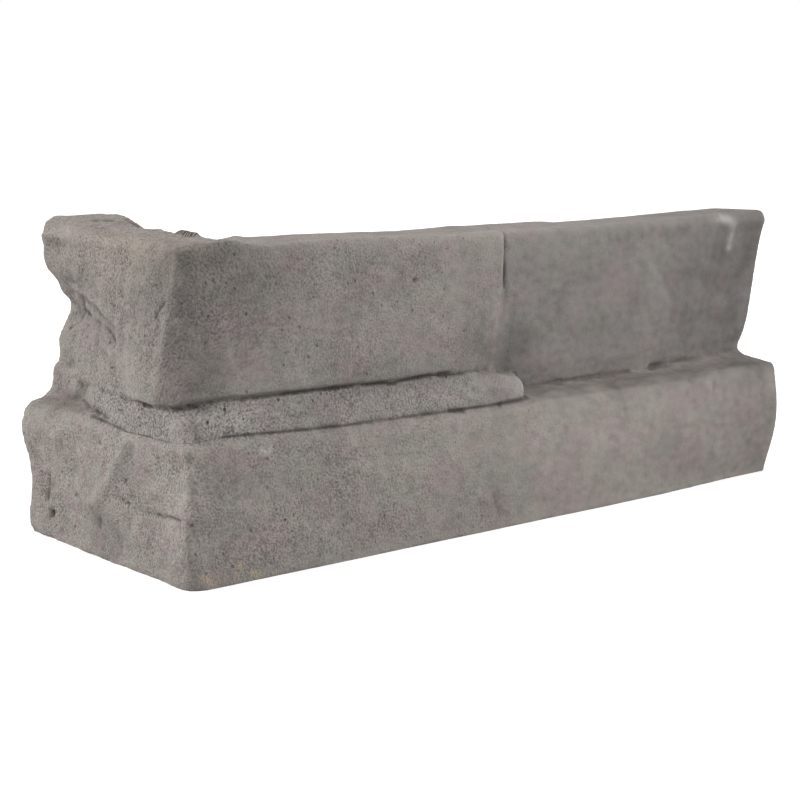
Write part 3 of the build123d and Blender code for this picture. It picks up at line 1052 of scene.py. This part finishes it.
        # Cracks, creases and holes get dirt and painted shade too
        dirt_and_shade -= 0.7 * np.min([mark.lift(places) for mark in DARK_MARKS], axis=0)
        fields = {
            "dirt_and_shade": np.minimum(dirt_and_shade, 0.9),
            # Paler ridges and arrises: wear with a painted highlight
            "wear_and_highlight": smooth(0.15, 0.9, -broad),
            "cool": skin["cool"],
            "tone": tone + skin["tone"],
            "tan": SANDY_TOP.cover(places) + sum(mark.lift(places) for mark in TAN_MARKS),
            "chalk": np.max([mark.lift(places) for mark in CHALK_MARKS], axis=0),
            "grain": self.grain(places, wall_side) * skin["grain"],
            "foot": self.above_foot(places),
            "crumb": smooth(0.2, 0.45, CRUMB.lift(places) / CRUMB.height),
            "streak": STREAKS.cover(places) * (1.0 + 0.5 * wander(places, 8, 83.0)),
        }
        for name in SURFACE_MARKS:
            attribute = mesh.attributes.new(name, "FLOAT", "POINT")
            attribute.data.foreach_set("value", np.asarray(fields[name], np.float32))

    def thin_flats(self, piece: bpy.types.Object) -> None:
        """Give the flat sides few, large faces, and leave the rock faces fine.

        Args:
            piece: The weathered object.
        """
        places, normals = self.read(piece.data)
        flat = np.abs(normals).max(axis=1) > 0.9999  # square to an axis
        flat &= (normals[:, 0] > 0.9) | (normals[:, 1] > 0.9) | (normals[:, 2] < -0.9)
        group = piece.vertex_groups.new(name="flat_sides")
        group.add(np.flatnonzero(flat).tolist(), 1.0, "REPLACE")
        kept = 1.0 - float(flat.mean()) * (1.0 - self.flat_faces_kept)
        self.apply(piece, "DECIMATE", ratio=kept, vertex_group="flat_sides", vertex_group_factor=1.0)
        piece.vertex_groups.clear()

    def build(self) -> bpy.types.Object:
        """Build, dress and hang the piece on its body.

        Returns:
            The finished object.
        """
        piece = self.fine_copy()
        self.carve(piece)
        self.weather(piece)
        self.thin_flats(piece)
        piece.data.materials.clear()
        piece.data.materials.append(self.finish.material())
        piece.data.set_sharp_from_angle(angle=math.radians(self.sharp_angle))
        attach(piece, "root")
        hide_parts(self.node)
        piece.data.calc_loop_triangles()
        log.info("corner piece: %d triangles", len(piece.data.loop_triangles))
        return piece


@dataclass(frozen=True)
class SoftLamp:
    """One soft square lamp: where it hangs, its side in metres and its power in watts."""

    name: str
    place: Point
    size: float
    power: float

    def hang(self, target: Vector) -> None:
        """Hang the lamp.

        Args:
            target: What it faces.
        """
        data = bpy.data.lights.new(self.name, "AREA")
        data.shape = "SQUARE"
        data.size = self.size
        data.energy = self.power
        lamp = bpy.data.objects.new(self.name, data)
        lamp.location = self.place
        lamp.rotation_euler = (target - Vector(self.place)).to_track_quat("-Z", "Y").to_euler()
        bpy.context.scene.collection.objects.link(lamp)


@dataclass
class Studio:
    """Pale floor, soft lamps, white surroundings and the camera."""

    floor_size: float = 8.0
    board: str = "a0a0a0"  # what the floor throws back at the piece
    white: str = "ffffff"  # what the camera sees of it
    glow_reach: tuple[float, float] = (0.2, 0.9)  # metres out where the glow starts to grow, and is full
    near_glow: float = 0.45  # how much of it is left under the piece, for a soft shadow
    camera_place: Point = (-0.3804, -0.43579, 0.1317)
    camera_pitch: float = 9.298
    camera_yaw: float = 49.949
    focal_mm: float = 73.278
    sky_strength: float = 0.24
    lamps: tuple[SoftLamp, ...] = (
        SoftLamp("left_lamp", (-1.36, 0.62, 0.66), 0.6, 21.0),
        SoftLamp("right_lamp", (0.97, -1.15, 0.62), 0.7, 19.0),
        SoftLamp("top_lamp", (-0.1, 0.0, 1.8), 1.2, 9.0),
    )
    lamp_target: Point = (0.0, 0.0, 0.05)

    def camera_white(self, nodes: ShaderNodes) -> Socket:
        """Tell rays that come from the camera, also by way of gloss or glass.

        Args:
            nodes: Where the nodes go.

        Returns:
            1 for such a ray, 0 for others.
        """
        path = add_node(nodes.tree, "ShaderNodeLightPath").outputs
        seen = nodes.worked("MAXIMUM", path["Is Camera Ray"], path["Is Glossy Ray"])
        return nodes.worked("MAXIMUM", seen, path["Is Transmission Ray"])

    def board_material(self) -> bpy.types.Material:
        """Make the board, which glows white to the camera and less so round the piece.

        Returns:
            The material.
        """
        material = bpy.data.materials.new("matt_white_board")
        nodes = ShaderNodes(material)
        tree = nodes.tree
        seen = self.camera_white(nodes)
        colour = nodes.mixed(seen, linear(self.board), linear(self.white))
        board = add_node(tree, "ShaderNodeBsdfDiffuse", {"Color": colour}).outputs[0]
        away = add_node(tree, "ShaderNodeVectorMath", {0: nodes.place()}, operation="LENGTH")
        far = nodes.ranged(away.outputs["Value"], *self.glow_reach, self.near_glow)
        glow = add_node(tree, "ShaderNodeEmission", {"Strength": nodes.times(seen, far)}).outputs[0]
        both = add_node(tree, "ShaderNodeAddShader", {0: board, 1: glow}).outputs[0]
        add_node(tree, "ShaderNodeOutputMaterial", {"Surface": both})
        return material

    def lay_floor(self) -> None:
        """Lay the pale board under the piece, to catch its soft shadow."""
        shell = bmesh.new()
        bmesh.ops.create_grid(shell, x_segments=1, y_segments=1, size=self.floor_size / 2)
        mesh = bpy.data.meshes.new("floor")
        shell.to_mesh(mesh)
        shell.free()
        floor = bpy.data.objects.new("floor", mesh)
        bpy.context.scene.collection.objects.link(floor)
        mesh.materials.append(self.board_material())

    def light(self) -> None:
        """Light the piece softly from both sides and above, in white surroundings."""
        for lamp in self.lamps:
            lamp.hang(Vector(self.lamp_target))
        world = bpy.data.worlds.new("white_studio")
        nodes = ShaderNodes(world)
        strength = nodes.ranged(self.camera_white(nodes), 0.0, 1.0, self.sky_strength)
        inputs = {"Color": linear(self.white), "Strength": strength}
        sky = add_node(nodes.tree, "ShaderNodeBackground", inputs).outputs["Background"]
        add_node(nodes.tree, "ShaderNodeOutputWorld", {"Surface": sky})
        bpy.context.scene.world = world

    def set_camera(self) -> None:
        """Stand the camera where the photograph was taken from."""
        data = bpy.data.cameras.new("photo_camera")
        data.lens = self.focal_mm
        data.sensor_width = 36.0
        data.clip_start = 0.01
        camera = bpy.data.objects.new("photo_camera", data)
        camera.location = self.camera_place
        tilt, turn = math.radians(90 - self.camera_pitch), math.radians(self.camera_yaw - 90)
        camera.rotation_euler = (tilt, 0.0, turn)
        bpy.context.scene.collection.objects.link(camera)
        bpy.context.scene.camera = camera

    def build(self) -> None:
        """Set up everything around the piece."""
        self.lay_floor()
        self.light()
        self.set_camera()
        bpy.context.scene.view_settings.view_transform = "Standard"
        log.info("studio: floor, %d lamps, world and camera", len(self.lamps))


def main() -> None:
    """Build the piece and its studio."""
    CornerPiece().build()
    Studio().build()


if __name__ == "__main__":
    main()
